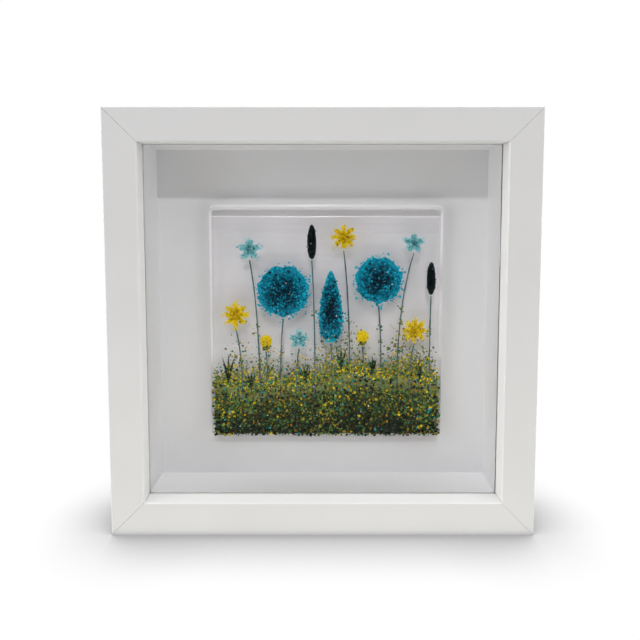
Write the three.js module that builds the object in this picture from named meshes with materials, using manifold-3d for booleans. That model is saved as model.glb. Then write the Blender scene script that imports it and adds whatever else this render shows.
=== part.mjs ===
// A fused-glass flower panel in a deep white box frame.
// Millimetres. X is across, Z is up, and the front faces -Y. The origin is under the middle of the
// frame, on the surface that it stands on.
import * as THREE from 'three';
import * as BufferGeometryUtils from 'three/addons/utils/BufferGeometryUtils.js';
import Module from 'manifold-3d';

// Frame
const OUTER = 250;
const DEPTH = 45;
const FACE_WIDTH = 19.5;
const WALL_WIDTH = 13.5;
const LIP_DEPTH = 11;
const ARRIS = 0.6;
const MITRE_GAP = 0.16;

// Filling of the frame, from front to back
const GLASS_THICK = 2;
const FIT_GAP = 0.5;
const SPACER_DEPTH = 25;
const CARD_THICK = 1;
const BOARD_THICK = 2.5;

// Tabs and kerfs
const TAB_WIDTH = 8;
const TAB_LENGTH = 17;
const TAB_SUNK = 5;
const TAB_THICK = 0.5;
const TAB_LIFT = 0.25;
const TAB_OFFSET = 55;
const KERF_CLEARANCE = 0.3;

// Hanger
const HANGER_LENGTH = 44;
const HANGER_HEIGHT = 9;
const HANGER_THICK = 0.8;
const HANGER_FOOT = 7;
const HANGER_RISE = 1.2;
const HANGER_DROP = 22;
const TOOTH_PITCH = 2;
const TOOTH_DEPTH = 1.4;
const RIVET_HEAD_RADIUS = 2.1;
const RIVET_RADIUS = 0.9;
const RIVET_HOLE_RADIUS = 1.3;
const RIVET_HEAD_HEIGHT = 0.9;

// Fused panel
const PANEL_WIDTH = 146.5;
const PANEL_HEIGHT = 148.5;
const PANEL_THICK = 6;
const PANEL_SHIFT_X = 2.25;
const PANEL_DROP = 3.5;
const PANEL_CORNER = 4;
const PANEL_FRONT_ROUND = 2.5;
const PANEL_BACK_ROUND = 1;
const STANDOFF = 3;
const PAD_RADIUS = 5;

// Crushed glass and rods on the panel
const ROD_RADIUS = 0.5;
const ROD_STEPS = 12;
const HEAP_GAP = 0.3;
const BED_MARGIN = 2.5;
const BED_COLUMNS = 44;
const BED_ROWS = 7;
const BED_HEIGHT = 1.5;
const BLADE_SPREAD = 0.22;
const BLADE_HALF_WIDTH = 0.9;
const BLADE_HEIGHT = 0.9;

const half = OUTER / 2;
const front = -DEPTH / 2;
const lipBack = front + LIP_DEPTH;
const sight = half - FACE_WIDTH;
const rebate = half - WALL_WIDTH;
const glassBack = lipBack + GLASS_THICK;
const cardFront = glassBack + SPACER_DEPTH;
const boardFront = cardFront + CARD_THICK;
const boardBack = boardFront + BOARD_THICK;
const panelBack = cardFront - STANDOFF;
const panelFront = panelBack - PANEL_THICK;
const centreZ = half;
const panelX = PANEL_SHIFT_X;
const panelZ = centreZ - PANEL_DROP;

const wasm = await Module();
wasm.setup();

const model = new THREE.Group();

const paint = new THREE.MeshStandardMaterial({ color: 0xf1f0ec, roughness: 0.45 });
const clear = new THREE.MeshStandardMaterial({
  color: 0xe6f0ee, roughness: 0.05, transparent: true, opacity: 0.3,
});
const foil = new THREE.MeshStandardMaterial({ color: 0xf4f3f0, roughness: 0.6 });
const card = new THREE.MeshStandardMaterial({ color: 0xf2f1f2, roughness: 0.9 });
const fibre = new THREE.MeshStandardMaterial({ color: 0x8a6a48, roughness: 0.85 });
const steel = new THREE.MeshStandardMaterial({ color: 0xb4b6b8, roughness: 0.35, metalness: 1 });
const foam = new THREE.MeshStandardMaterial({ color: 0xf3f3f0, roughness: 0.7 });
const teal = new THREE.MeshStandardMaterial({ color: 0x06778c, roughness: 0.2 });
const yellow = new THREE.MeshStandardMaterial({ color: 0xd6b80a, roughness: 0.2 });
const pale = new THREE.MeshStandardMaterial({ color: 0x82bfc8, roughness: 0.2 });
const dark = new THREE.MeshStandardMaterial({ color: 0x1a2820, roughness: 0.25 });
const green = new THREE.MeshStandardMaterial({ color: 0x4a6b1d, roughness: 0.25 });
const rod = new THREE.MeshStandardMaterial({ color: 0x5b7f86, roughness: 0.2 });

function addMesh(name, geometry, material) {
  const mesh = new THREE.Mesh(geometry, material);
  mesh.name = name;
  model.add(mesh);
  return mesh;
}

// A geometry of plain corners and faces
function fromFaces(points, faces) {
  const geometry = new THREE.BufferGeometry();
  geometry.setAttribute('position', new THREE.Float32BufferAttribute(points.flat(), 3));
  geometry.setIndex(faces.flat());
  geometry.computeVertexNormals();
  return geometry;
}

function toSolid(geometry) {
  const bare = geometry.clone();
  bare.deleteAttribute('normal');
  bare.deleteAttribute('uv');
  const merged = BufferGeometryUtils.mergeVertices(bare, 1e-4);
  return new wasm.Manifold(new wasm.Mesh({
    numProp: 3,
    vertProperties: new Float32Array(merged.attributes.position.array),
    triVerts: new Uint32Array(merged.index.array),
  }));
}

function fromSolid(solid) {
  const mesh = solid.getMesh();
  const geometry = new THREE.BufferGeometry();
  geometry.setAttribute('position', new THREE.BufferAttribute(mesh.vertProperties, 3));
  geometry.setIndex(new THREE.BufferAttribute(mesh.triVerts, 1));
  geometry.computeVertexNormals();
  return geometry;
}

function boxBetween(low, high) {
  const size = high.map((value, axis) => value - low[axis]);
  const geometry = new THREE.BoxGeometry(...size);
  geometry.translate(...low.map((value, axis) => value + size[axis] / 2));
  return geometry;
}

// The four sides of the frame: each turns (along, inward) into (x, z) by exact swaps and signs
const SIDES = {
  bottom: (along, inward) => [along, inward],
  top: (along, inward) => [-along, OUTER - inward],
  left: (along, inward) => [inward - half, half - along],
  right: (along, inward) => [half - inward, half + along],
};

// Rails
// The section of a rail, as points of how far in from the outer face, and depth
function railSection() {
  const back = DEPTH / 2;
  return [
    [0, front + ARRIS], [ARRIS / 3, front + ARRIS / 3], [ARRIS, front],
    [FACE_WIDTH - ARRIS, front], [FACE_WIDTH - ARRIS / 3, front + ARRIS / 3],
    [FACE_WIDTH, front + ARRIS], [FACE_WIDTH, lipBack], [WALL_WIDTH, lipBack],
    [WALL_WIDTH, back], [0, back],
  ];
}

// A mitred rail: its section carried from one 45-degree end to the other
function railGeometry(place) {
  const section = railSection();
  const count = section.length;
  const points = [-1, 1].flatMap((end) => section.map(([inward, y]) => {
    const [x, z] = place(end * (half - inward - MITRE_GAP / 2), inward);
    return [x, y, z];
  }));
  const outline = section.map(([inward, y]) => new THREE.Vector2(inward, y));
  const caps = THREE.ShapeUtils.triangulateShape(outline, []);
  const faces = [];
  for (const [a, b, c] of caps) {
    faces.push([a, b, c], [count + a, count + c, count + b]);
  }
  for (let i = 0; i < count; i += 1) {
    const next = (i + 1) % count;
    faces.push([i, count + next, next], [i, count + i, count + next]);
  }
  return fromFaces(points, faces);
}

// The saw cut that a tab is driven into, from the rebate into the wall
function kerfGeometry(place, along) {
  const depth = TAB_SUNK + 2 * KERF_CLEARANCE;
  const wide = TAB_WIDTH / 2 + KERF_CLEARANCE;
  const [x0, z0] = place(along - wide, WALL_WIDTH - depth);
  const [x1, z1] = place(along + wide, WALL_WIDTH + 1);
  const low = boardBack + TAB_LIFT - KERF_CLEARANCE;
  const high = boardBack + TAB_LIFT + TAB_THICK + KERF_CLEARANCE;
  return boxBetween(
    [Math.min(x0, x1), low, Math.min(z0, z1)],
    [Math.max(x0, x1), high, Math.max(z0, z1)],
  );
}

function addRails() {
  for (const [side, place] of Object.entries(SIDES)) {
    let rail = toSolid(railGeometry(place));
    for (const along of [-TAB_OFFSET, TAB_OFFSET]) {
      rail = rail.subtract(toSolid(kerfGeometry(place, along)));
    }
    addMesh(`rail_${side}`, fromSolid(rail), paint);
  }
}

// Front glass, spacers, card and board
function addFilling() {
  const reach = rebate - FIT_GAP;
  const sheet = (y0, y1) => boxBetween([-reach, y0, centreZ - reach], [reach, y1, centreZ + reach]);
  addMesh('front_glass', sheet(lipBack, glassBack), clear);
  addMesh('backing_card', sheet(cardFront, boardFront), card);
  addMesh('back_board', sheet(boardFront, boardBack), fibre);
  for (const [side, sign] of [['bottom', -1], ['top', 1]]) {
    const z = [centreZ + sign * sight, centreZ + sign * reach].sort((a, b) => a - b);
    addMesh(`spacer_${side}`, boxBetween([-reach, glassBack, z[0]], [reach, cardFront, z[1]]), foil);
  }
  for (const [side, sign] of [['left', -1], ['right', 1]]) {
    const x = [sign * sight, sign * reach].sort((a, b) => a - b);
    const low = [x[0], glassBack, centreZ - sight];
    const high = [x[1], cardFront, centreZ + sight];
    addMesh(`spacer_${side}`, boxBetween(low, high), foil);
  }
}

// Steel tabs: a flat leaf with a round free end, over the edge of the board
function tabGeometry(place, along) {
  const radius = TAB_WIDTH / 2;
  const start = WALL_WIDTH - TAB_SUNK;
  const centre = start + TAB_LENGTH - radius;
  const outline = [[along - radius, start], [along + radius, start]];
  const steps = 8;
  for (let i = 0; i <= steps; i += 1) {
    const turn = (Math.PI * i) / steps;
    outline.push([along + radius * Math.cos(turn), centre + radius * Math.sin(turn)]);
  }
  const shape = new THREE.Shape(outline.map(([a, b]) => new THREE.Vector2(...place(a, b))));
  const geometry = new THREE.ExtrudeGeometry(shape, { depth: TAB_THICK, bevelEnabled: false });
  geometry.rotateX(Math.PI / 2);
  geometry.translate(0, boardBack + TAB_LIFT + TAB_THICK, 0);
  return geometry;
}

function addTabs() {
  for (const [side, place] of Object.entries(SIDES)) {
    [-TAB_OFFSET, TAB_OFFSET].forEach((along, index) => {
      addMesh(`tab_${side}_${index + 1}`, tabGeometry(place, along), steel);
    });
  }
}

// Hanger: a strip bent up between its two feet, with teeth along its lower edge
function hangerGeometry() {
  const end = HANGER_LENGTH / 2;
  const foot = end - HANGER_FOOT;
  const arch = foot - HANGER_RISE;
  const t = HANGER_THICK;
  const outline = [
    [-end, 0], [-foot, 0], [-arch, HANGER_RISE], [arch, HANGER_RISE], [foot, 0], [end, 0],
    [end, t], [foot + t / 2, t], [arch + t / 2, HANGER_RISE + t], [-arch - t / 2, HANGER_RISE + t],
    [-foot - t / 2, t], [-end, t],
  ];
  const shape = new THREE.Shape(outline.map(([x, y]) => new THREE.Vector2(x, y)));
  const strip = new THREE.ExtrudeGeometry(shape, { depth: HANGER_HEIGHT, bevelEnabled: false });
  let solid = toSolid(strip);
  for (let x = -arch + TOOTH_PITCH; x < arch - TOOTH_PITCH / 2; x += TOOTH_PITCH) {
    const notch = new THREE.Shape([
      new THREE.Vector2(x - TOOTH_PITCH / 2, -1), new THREE.Vector2(x + TOOTH_PITCH / 2, -1),
      new THREE.Vector2(x, TOOTH_DEPTH),
    ]);
    const cut = new THREE.ExtrudeGeometry(notch, { depth: 6, bevelEnabled: false });
    cut.rotateX(Math.PI / 2);
    cut.translate(0, 5, 0);
    solid = solid.subtract(toSolid(cut));
  }
  for (const x of rivetPlaces()) {
    const hole = new THREE.CylinderGeometry(RIVET_HOLE_RADIUS, RIVET_HOLE_RADIUS, 6, 16);
    hole.translate(x, 0, HANGER_HEIGHT / 2);
    solid = solid.subtract(toSolid(hole));
  }
  return fromSolid(solid);
}

function rivetPlaces() {
  const x = HANGER_LENGTH / 2 - HANGER_FOOT / 2;
  return [-x, x];
}

// A rivet: its shank stands on the board, inside the hole of the foot, with a domed head on top
function rivetGeometry() {
  const base = HANGER_THICK + HEAP_GAP / 2;
  const profile = [[0, 0], [RIVET_RADIUS, 0], [RIVET_RADIUS, base], [RIVET_HEAD_RADIUS, base]];
  const steps = 4;
  for (let i = 1; i <= steps; i += 1) {
    const turn = (Math.PI / 2) * (i / steps);
    const radius = i === steps ? 0 : RIVET_HEAD_RADIUS * Math.cos(turn);
    profile.push([radius, base + RIVET_HEAD_HEIGHT * Math.sin(turn)]);
  }
  return new THREE.LatheGeometry(profile.map(([r, y]) => new THREE.Vector2(r, y)), 16);
}

function addHanger() {
  const z = OUTER - FACE_WIDTH - HANGER_DROP;
  addMesh('hanger', hangerGeometry(), steel).position.set(0, boardBack, z);
  rivetPlaces().forEach((x, index) => {
    const rivet = addMesh(`rivet_${index + 1}`, rivetGeometry(), steel);
    rivet.position.set(x, boardBack, z + HANGER_HEIGHT / 2);
  });
}

// Fused panel: round-cornered outlines stacked from the front face to the back, with soft edges
function panelOutline(inset) {
  const x = PANEL_WIDTH / 2 - PANEL_CORNER;
  const z = PANEL_HEIGHT / 2 - PANEL_CORNER;
  const radius = PANEL_CORNER - inset;
  const steps = 6;
  const points = [];
  [[x, z], [-x, z], [-x, -z], [x, -z]].forEach(([cx, cz], corner) => {
    for (let i = 0; i <= steps; i += 1) {
      const turn = (Math.PI / 2) * (corner + i / steps);
      points.push([cx + radius * Math.cos(turn), cz + radius * Math.sin(turn)]);
    }
  });
  return points;
}

function panelGeometry() {
  const levels = [];
  const steps = 4;
  for (let i = 0; i <= steps; i += 1) {
    const turn = (Math.PI / 2) * (i / steps);
    levels.push([
      panelFront + PANEL_FRONT_ROUND * (1 - Math.sin(turn)),
      PANEL_FRONT_ROUND * (1 - Math.cos(turn)),
    ]);
  }
  levels.reverse();
  levels.push([panelBack - PANEL_BACK_ROUND, 0], [panelBack, PANEL_BACK_ROUND]);
  const points = levels.flatMap(([y, inset]) => panelOutline(inset).map(([x, z]) => [x, y, z]));
  const count = points.length / levels.length;
  const last = points.length - count;
  const faces = [];
  for (let i = 1; i < count - 1; i += 1) {
    faces.push([0, i, i + 1], [last, last + i + 1, last + i]);
  }
  for (let level = 0; level < levels.length - 1; level += 1) {
    for (let i = 0; i < count; i += 1) {
      const a = level * count + i;
      const b = level * count + ((i + 1) % count);
      faces.push([a, b + count, b], [a, a + count, b + count]);
    }
  }
  return fromFaces(points, faces);
}

// Where the pads stand, on the panel: two behind the bed, two behind the round flowers
const PADS = [[-46, -58], [46, -58], [-27, 20], [33, 27]];

function addPanel() {
  addMesh('glass_panel', panelGeometry(), clear).position.set(panelX, 0, panelZ);
  PADS.forEach(([x, z], index) => {
    const pad = new THREE.CylinderGeometry(PAD_RADIUS, PAD_RADIUS, STANDOFF, 24);
    pad.translate(panelX + x, panelBack + STANDOFF / 2, panelZ + z);
    addMesh(`pad_${index + 1}`, pad, foam);
  });
}

// A repeatable number from 0 to 1 for a pair of whole numbers
function chance(a, b) {
  const value = Math.sin(a * 127.1 + b * 311.7) * 43758.5453;
  return value - Math.floor(value);
}

// A heap of crushed glass: a low dome over an outline given as a radius for each direction,
// with lumps, on a flat base that is fused to the panel
function heapGeometry({ outline, height, sectors, rings, seed }) {
  const points = [[0, panelFront, 0], [0, panelFront - height, 0]];
  for (let ring = 1; ring <= rings; ring += 1) {
    const share = ring / rings;
    for (let i = 0; i < sectors; i += 1) {
      const turn = (2 * Math.PI * i) / sectors;
      const [x, z] = outline(turn);
      const lump = 0.72 + 0.5 * chance(seed * 31 + ring, i);
      const rise = ring === rings ? 0 : height * Math.sqrt(1 - share * share) * lump;
      points.push([x * share, panelFront - rise, z * share]);
    }
  }
  const faces = [];
  const at = (ring, i) => 2 + (ring - 1) * sectors + (i % sectors);
  for (let i = 0; i < sectors; i += 1) {
    faces.push([1, at(1, i), at(1, i + 1)]);
    faces.push([0, at(rings, i + 1), at(rings, i)]);
    for (let ring = 1; ring < rings; ring += 1) {
      faces.push([at(ring, i), at(ring + 1, i), at(ring + 1, i + 1)]);
      faces.push([at(ring, i), at(ring + 1, i + 1), at(ring, i + 1)]);
    }
  }
  return fromFaces(points, faces);
}

// Outlines of the heads
const roundOutline = (radius) => (turn) => {
  const wave = 1 + 0.04 * Math.sin(7 * turn) + 0.03 * Math.sin(11 * turn);
  return [radius * wave * Math.cos(turn), radius * wave * Math.sin(turn)];
};

const petalOutline = (radius, petals, waist) => (turn) => {
  const open = Math.abs(Math.cos((petals * (turn - Math.PI / 2)) / 2)) ** 0.6;
  const reach = radius * (waist + (1 - waist) * open);
  return [reach * Math.cos(turn), reach * Math.sin(turn)];
};

const ovalOutline = (wide, tall, taper) => (turn) => {
  const z = Math.sin(turn);
  return [wide * Math.cos(turn) * (1 - taper * z), tall * z];
};

// Kinds of flower: outline, relief, how far below its centre the stem ends, and colour
const KINDS = {
  teal_globe: (size) => ({
    outline: roundOutline(size), height: 1.5, sectors: 28, rings: 4, below: size * 1.07,
    material: teal,
  }),
  teal_spike: (size) => ({
    outline: ovalOutline(size * 0.3, size, 0.45), height: 1.5, sectors: 24, rings: 4,
    below: size, material: teal,
  }),
  yellow_daisy: (size) => ({
    outline: petalOutline(size, 8, 0.5), height: 1.3, sectors: 32, rings: 3, below: size,
    material: yellow,
  }),
  pale_star: (size) => ({
    outline: petalOutline(size, 5, 0.35), height: 1.2, sectors: 30, rings: 3, below: size * 0.8,
    material: pale,
  }),
  yellow_bud: (size) => ({
    outline: ovalOutline(size * 0.7, size, -0.25), height: 1.3, sectors: 18, rings: 3, below: size,
    material: yellow,
  }),
  dark_reed: (size) => ({
    outline: ovalOutline(size * 0.26, size, 0.1), height: 1.3, sectors: 18, rings: 3, below: size,
    material: dark,
  }),
};

// The flowers: kind, centre of the head on the panel, size of the head, and where the stem comes up
const FLOWERS = [
  ['teal_globe', -27, 20, 16, -29],
  ['teal_globe', 33, 27, 14.5, 35],
  ['teal_spike', 3, 10, 23, 4],
  ['yellow_daisy', -57, 5, 8.5, -53],
  ['yellow_daisy', 11, 54, 8, 15],
  ['yellow_daisy', 56, -5, 8, 53],
  ['pale_star', -48, 46, 7.5, -42],
  ['pale_star', 55, 50, 7, 45],
  ['pale_star', -17, -11, 6.5, -19],
  ['yellow_bud', -38, -13, 5, -37],
  ['yellow_bud', 23, -10, 5, 24],
  ['dark_reed', -9, 51, 11, -7],
  ['dark_reed', 66, 28, 10.5, 65.5],
];

// The top line of the ground bed
function bedTop(x) {
  return -37 + 3.5 * Math.sin(x / 17 + 0.6) + 1.6 * Math.sin(x / 6.3) + 0.05 * x;
}

// A stem: a half-round glass rod laid on the panel, from the bed up to its head
function stemGeometry(footX, topX, topZ) {
  const footZ = bedTop(footX) + ROD_RADIUS + HEAP_GAP * 3;
  const start = new THREE.Vector3(panelX + footX, panelFront, panelZ + footZ);
  const end = new THREE.Vector3(panelX + topX, panelFront, panelZ + topZ);
  const bend = new THREE.Vector3(start.x, panelFront, start.z + (end.z - start.z) * 0.6);
  const path = new THREE.QuadraticBezierCurve3(start, bend, end);
  const steps = 5;
  const section = [];
  for (let i = 0; i <= steps; i += 1) {
    const turn = Math.PI * (i / steps - 0.5);
    section.push(new THREE.Vector2(ROD_RADIUS * 1.6 * Math.cos(turn), ROD_RADIUS * Math.sin(turn)));
  }
  section[0].x = 0;
  section[steps].x = 0;
  const shape = new THREE.Shape(section);
  return new THREE.ExtrudeGeometry(shape, { steps: ROD_STEPS, extrudePath: path });
}

function addFlowers() {
  const seen = {};
  FLOWERS.forEach(([kind, x, z, size, footX], index) => {
    seen[kind] = (seen[kind] ?? 0) + 1;
    const name = `${kind}_${seen[kind]}`;
    const form = KINDS[kind](size);
    const head = addMesh(`${name}_head`, heapGeometry({ ...form, seed: index + 1 }), form.material);
    head.position.set(panelX + x, 0, panelZ + z);
    const topZ = z - form.below - HEAP_GAP * 2;
    addMesh(`${name}_stem`, stemGeometry(footX, x, topZ), rod);
  });
}

// Ground bed: rows of lumps between the lower edge of the panel and the bed's top line
function bedGeometry() {
  const reach = PANEL_WIDTH / 2 - BED_MARGIN;
  const low = -PANEL_HEIGHT / 2 + BED_MARGIN;
  const points = [];
  for (const isFront of [false, true]) {
    for (let row = 0; row <= BED_ROWS; row += 1) {
      for (let column = 0; column <= BED_COLUMNS; column += 1) {
        const x = -reach + (2 * reach * column) / BED_COLUMNS;
        const share = row / BED_ROWS;
        const z = low + (bedTop(x) - low) * share;
        const isEdge = row === 0 || row === BED_ROWS || column === 0 || column === BED_COLUMNS;
        const thin = 1 - 0.35 * share;
        const rise = isEdge ? 0.25 : BED_HEIGHT * thin * (0.45 + 0.55 * chance(row, column));
        points.push([x, isFront ? panelFront - rise : panelFront, z]);
      }
    }
  }
  const width = BED_COLUMNS + 1;
  const layer = width * (BED_ROWS + 1);
  const faces = [];
  for (let row = 0; row < BED_ROWS; row += 1) {
    for (let column = 0; column < BED_COLUMNS; column += 1) {
      const a = row * width + column;
      const b = a + 1;
      const c = a + width + 1;
      const d = a + width;
      faces.push([a, c, b], [a, d, c]);
      faces.push([layer + a, layer + b, layer + c], [layer + a, layer + c, layer + d]);
    }
  }
  const rim = [];
  for (let i = 0; i < BED_COLUMNS; i += 1) rim.push(i);
  for (let i = 0; i < BED_ROWS; i += 1) rim.push(i * width + BED_COLUMNS);
  for (let i = BED_COLUMNS; i > 0; i -= 1) rim.push(BED_ROWS * width + i);
  for (let i = BED_ROWS; i > 0; i -= 1) rim.push(i * width);
  rim.forEach((a, i) => {
    const b = rim[(i + 1) % rim.length];
    faces.push([a, b, layer + b], [a, layer + b, layer + a]);
  });
  return fromFaces(points, faces);
}

// Grass: slivers of dark green glass that fan out from one foot on the bed
const CLUMPS = [[-62, 20, 3], [-47.5, 13, 3], [-13, 14, 4], [9.5, 17, 3], [29.5, 13, 3], [59, 16, 3]];

function bladeGeometry(lean, length) {
  const wide = BLADE_HALF_WIDTH;
  const top = panelFront - BLADE_HEIGHT;
  const tip = [length * Math.sin(lean), length * Math.cos(lean)];
  const bow = 0.12 * length * Math.sin(lean);
  const middle = [tip[0] / 2 - bow, tip[1] / 2];
  const foot = HEAP_GAP * 2;
  const points = [
    [-wide, panelFront, foot], [wide, panelFront, foot],
    [middle[0] + wide, panelFront, middle[1]], [middle[0] - wide, panelFront, middle[1]],
    [tip[0], panelFront, tip[1]],
    [0, top, foot], [middle[0], top, middle[1]],
  ];
  return fromFaces(points, [
    [0, 3, 2], [0, 2, 1], [3, 4, 2], [0, 1, 5], [1, 2, 6], [1, 6, 5],
    [3, 0, 5], [3, 5, 6], [2, 4, 6], [4, 3, 6],
  ]);
}

function addGround() {
  addMesh('ground_bed', bedGeometry(), green).position.set(panelX, 0, panelZ);
  CLUMPS.forEach(([x, length, blades], index) => {
    let clump = null;
    for (let i = 0; i < blades; i += 1) {
      const lean = (i - (blades - 1) / 2) * BLADE_SPREAD;
      const blade = toSolid(bladeGeometry(lean, length * (1 - 0.18 * Math.abs(lean * 2))));
      clump = clump === null ? blade : clump.add(blade);
    }
    const mesh = addMesh(`grass_clump_${index + 1}`, fromSolid(clump), dark);
    const highest = Math.max(bedTop(x - 1), bedTop(x), bedTop(x + 1));
    mesh.position.set(panelX + x, 0, panelZ + highest);
  });
}

addRails();
addFilling();
addTabs();
addHanger();
addPanel();
addGround();
addFlowers();

export default model;
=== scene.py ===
# A fused-glass flower panel in a deep white box frame, dressed for its portrait.
import math

import bpy
import numpy as np
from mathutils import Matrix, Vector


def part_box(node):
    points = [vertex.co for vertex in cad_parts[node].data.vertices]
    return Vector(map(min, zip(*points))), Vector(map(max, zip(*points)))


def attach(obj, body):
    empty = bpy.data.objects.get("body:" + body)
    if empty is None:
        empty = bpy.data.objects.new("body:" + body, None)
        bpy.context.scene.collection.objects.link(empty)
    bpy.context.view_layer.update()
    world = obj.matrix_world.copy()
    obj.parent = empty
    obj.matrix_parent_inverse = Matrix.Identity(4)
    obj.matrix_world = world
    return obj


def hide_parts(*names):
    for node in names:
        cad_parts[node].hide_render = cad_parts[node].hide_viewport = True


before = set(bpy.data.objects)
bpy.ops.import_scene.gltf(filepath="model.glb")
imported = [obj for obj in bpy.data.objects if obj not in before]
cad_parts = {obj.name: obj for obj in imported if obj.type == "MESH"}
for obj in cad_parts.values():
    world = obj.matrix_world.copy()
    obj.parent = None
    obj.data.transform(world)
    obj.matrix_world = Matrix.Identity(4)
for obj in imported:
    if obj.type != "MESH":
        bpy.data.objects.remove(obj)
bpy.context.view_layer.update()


# Camera
# The photograph was taken from about 30 cm, a little above the middle of the frame, and
# its crop is off centre, so the lens is shifted as well as tipped down.
LENS_PIXELS = 527.5
PHOTO_PIXELS = 640
PRINCIPAL_X = 320.3
PRINCIPAL_Y = 252.2
CAMERA_DISTANCE = 0.3006
CAMERA_RISE = 0.0630
CAMERA_LEFT = 0.0014
CAMERA_DIP = math.radians(3.81)
SENSOR_WIDTH = 36.0

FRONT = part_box("rail_bottom")[0][1]
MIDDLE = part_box("rail_top")[1][2] / 2

camera_data = bpy.data.cameras.new("portrait_camera")
camera_data.sensor_width = SENSOR_WIDTH
camera_data.lens = SENSOR_WIDTH * LENS_PIXELS / PHOTO_PIXELS
camera_data.shift_x = (PHOTO_PIXELS / 2 - PRINCIPAL_X) / PHOTO_PIXELS
camera_data.shift_y = (PRINCIPAL_Y - PHOTO_PIXELS / 2) / PHOTO_PIXELS
camera_data.clip_start = 0.01
camera_data.clip_end = 50.0
camera = bpy.data.objects.new("portrait_camera", camera_data)
camera.location = (-CAMERA_LEFT, FRONT - CAMERA_DISTANCE, MIDDLE + CAMERA_RISE)
camera.rotation_euler = (math.pi / 2 - CAMERA_DIP, 0.0, 0.0)
bpy.context.scene.collection.objects.link(camera)
bpy.context.scene.camera = camera


# Studio
# The frame stands on a flat white floor, with large soft lamps round it and a weak one behind it.
# A small lamp above the camera throws the top rail's shadow, and the panel's edge shadows, on
# the card, and the pale table in front throws a little light back up.
SOFT_LAMPS = [
    ((0.0, -0.12, 1.0), 10.0, 5.4, (1.0, 0.995, 0.98)),
    ((0.0, -0.4, 1.0), 12.0, 1.2, (1.0, 1.0, 1.03)),
    ((-1.0, -0.24, 0.1), 8.0, 5.7, (1.0, 0.99, 1.02)),
    ((1.0, -0.24, 0.1), 8.0, 4.4, (1.0, 0.99, 1.02)),
    ((0.0, -0.25, -1.0), 6.0, 2.2, (1.0, 1.0, 1.05)),
    ((0.0, 1.0, 0.3), 2.0, 0.9, (1.0, 1.0, 1.0)),
]
KEY_SLOPE = 0.862
KEY_SIDE = -0.04
KEY_REACH = 2.4
KEY_SIZE = 0.09
KEY_POWER = 11.8
TABLE_WIDTH = 0.7
TABLE_DEPTH = 0.4
TABLE_POWER = 0.56
TABLE_TINT = (1.0, 1.0, 0.82)
TABLE_GAP = 0.002
TABLE_LIFT = 0.001
PAPER_WHITE = 1.02
FLOOR_REACH = 6.0
CONTACT_REACH = 0.058
CONTACT_STOPS = [(0.50, (0.40, 0.40, 0.40)), (0.97, (1.0, 1.0, 1.0))]

scene = bpy.context.scene
scene.view_settings.view_transform = "Standard"
scene.view_settings.look = "None"


def new_material(name):
    """An empty node material, returned with its node tree and its output node."""
    material = bpy.data.materials.new(name)
    material.use_nodes = True
    tree = material.node_tree
    tree.nodes.clear()
    output = tree.nodes.new("ShaderNodeOutputMaterial")
    return material, tree, output


def add_node(tree, kind, **inputs):
    """A node of a kind, with its input sockets set by name (spaces written as _)."""
    node = tree.nodes.new(kind)
    for name, value in inputs.items():
        node.inputs[name.replace("_", " ")].default_value = value
    return node


def math_node(tree, operation, first, second):
    """A math node on a socket and either a number or a second socket."""
    node = tree.nodes.new("ShaderNodeMath")
    node.operation = operation
    tree.links.new(first, node.inputs[0])
    if isinstance(second, float):
        node.inputs[1].default_value = second
    else:
        tree.links.new(second, node.inputs[1])
    return node.outputs["Value"]


def tone_ramp(tree, source, stops):
    """A colour ramp over a factor; stops are (place, colour) pairs."""
    ramp = tree.nodes.new("ShaderNodeValToRGB")
    elements = ramp.color_ramp.elements
    while len(elements) < len(stops):
        elements.new(0.5)
    for element, (place, colour) in zip(elements, stops):
        element.position = place
        element.color = (*colour, 1.0)
    tree.links.new(source, ramp.inputs["Fac"])
    return ramp


def mix_shaders(tree, share, first, second):
    """A mix of two shader sockets by a share, which is a number or a socket."""
    mix = tree.nodes.new("ShaderNodeMixShader")
    if isinstance(share, float):
        mix.inputs["Fac"].default_value = share
    else:
        tree.links.new(share, mix.inputs["Fac"])
    tree.links.new(first, mix.inputs[1])
    tree.links.new(second, mix.inputs[2])
    return mix.outputs["Shader"]


def soft_lamp(tree, place, direction, width, strength, tint):
    """One lamp of the room: the cosine of the angle to its direction, raised to a power
    that sets its width, times its strength and its tint."""
    dot = tree.nodes.new("ShaderNodeVectorMath")
    dot.operation = "DOT_PRODUCT"
    dot.inputs[1].default_value = [value / math.hypot(*direction) for value in direction]
    tree.links.new(place.outputs["Generated"], dot.inputs[0])
    facing = math_node(tree, "MAXIMUM", dot.outputs["Value"], 0.0)
    glow = tree.nodes.new("ShaderNodeVectorMath")
    glow.operation = "SCALE"
    glow.inputs[0].default_value = [strength * value for value in tint]
    tree.links.new(math_node(tree, "POWER", facing, width), glow.inputs["Scale"])
    return glow.outputs["Vector"]


def light_the_room():
    """Paper white to the camera, and the sum of the soft lamps as a light."""
    world = bpy.data.worlds.new("white_room")
    scene.world = world
    world.use_nodes = True
    tree = world.node_tree
    tree.nodes.clear()
    path = tree.nodes.new("ShaderNodeLightPath")
    place = tree.nodes.new("ShaderNodeTexCoord")
    total = soft_lamp(tree, place, *SOFT_LAMPS[0])
    for lamp in SOFT_LAMPS[1:]:
        both = tree.nodes.new("ShaderNodeVectorMath")
        tree.links.new(total, both.inputs[0])
        tree.links.new(soft_lamp(tree, place, *lamp), both.inputs[1])
        total = both.outputs["Vector"]
    light = tree.nodes.new("ShaderNodeBackground")
    tree.links.new(total, light.inputs["Color"])
    seen = add_node(tree, "ShaderNodeBackground", Color=(1.0, 1.0, 1.0, 1.0), Strength=PAPER_WHITE)
    output = tree.nodes.new("ShaderNodeOutputWorld")
    mixed = mix_shaders(tree, path.outputs["Is Camera Ray"],
                        light.outputs["Background"], seen.outputs["Background"])
    tree.links.new(mixed, output.inputs["Surface"])


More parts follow.
